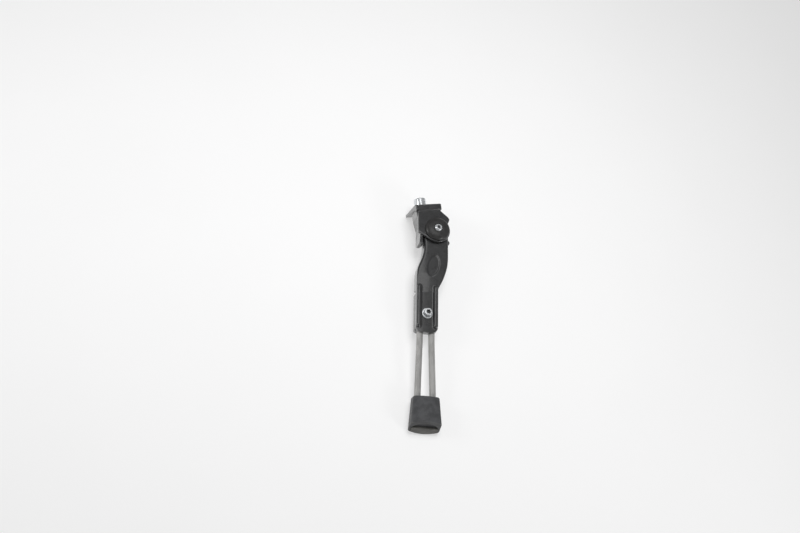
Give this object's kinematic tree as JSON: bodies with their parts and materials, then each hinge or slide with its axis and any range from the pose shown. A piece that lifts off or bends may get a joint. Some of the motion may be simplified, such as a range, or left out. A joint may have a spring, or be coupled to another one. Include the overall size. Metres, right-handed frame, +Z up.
{
  "type": "bicycle side stand",
  "caption": "Bicycle side stand: cast head with bolt-on platform, folding leg, and a steel rod loop with a rubber foot that slides to set the length.",
  "frame": {"origin": "middle of the footprint, on the bench that the stand lies on", "axes": "+Z up from the bench, +Y from the foot to the head, +X to the side that the leg folds towards. The pivot axis leans 3.8 degrees from +Z."},
  "size_m": [0.056, 0.3158, 0.0502],
  "materials": {
    "black_paint": "die-cast aluminium under satin black paint with a fine orange-peel texture",
    "black_cap": "die-cast aluminium under semi-gloss black paint",
    "zinc_steel": "bright zinc-plated steel",
    "satin_steel": "drawn steel rod, satin",
    "foot_rubber": "moulded black rubber, matt",
    "sole_rubber": "moulded dark grey rubber, matt and scuffed",
    "spring_steel": "oiled spring steel",
    "hard_steel": "hardened steel, ground",
    "bronze": "sintered bronze",
    "nylon": "natural nylon"
  },
  "bodies": {
    "head": {"head_bracket": "black_paint", "mounting_bolt": "zinc_steel", "mounting_washer": "zinc_steel", "spring_lock_washer": "zinc_steel", "pivot_pin": "zinc_steel", "outer_thrust_washer": "nylon", "inner_thrust_washer": "nylon", "detent_cam": "hard_steel", "pivot_cap": "black_cap", "pivot_screw": "zinc_steel"},
    "leg": {"leg_casting": "black_paint", "pivot_bushes": "bronze", "rear_clamp_plate": "black_paint", "clamp_nut": "zinc_steel", "clamp_washer": "zinc_steel", "detent_spring": "spring_steel"},
    "plunger": {"detent_plunger": "hard_steel"},
    "clamp_bolt": {"clamp_screw": "zinc_steel"},
    "extension": {"rod_loop": "satin_steel", "foot_shell": "foot_rubber", "foot_sole": "sole_rubber", "foot_pin": "spring_steel"}
  },
  "joints": [
    {"name": "leg_fold", "type": "hinge", "parent": "head", "child": "leg", "pos_m": [0.00453, 0.10354, 0.02921], "axis": [0.0134, -0.0654, 0.9978], "range_deg": [0, 100]},
    {"name": "length_adjust", "type": "slide", "parent": "leg", "child": "extension", "axis": [-0.0004, -0.9979, -0.0654], "range_m": [-0.008, 0.03]},
    {"name": "plunger_travel", "type": "slide", "parent": "leg", "child": "plunger", "axis": [0.0004, 0.9979, 0.0654], "range_m": [0, 0.0015], "stiffness_N_per_m": 800, "springref_m": 0.008},
    {"name": "clamp_screw_turn", "type": "hinge", "parent": "leg", "child": "clamp_bolt", "pos_m": [-0.00595, -0.01154, 0.02681], "axis": [0.0134, -0.0654, 0.9978], "continuous": true}
  ]
}
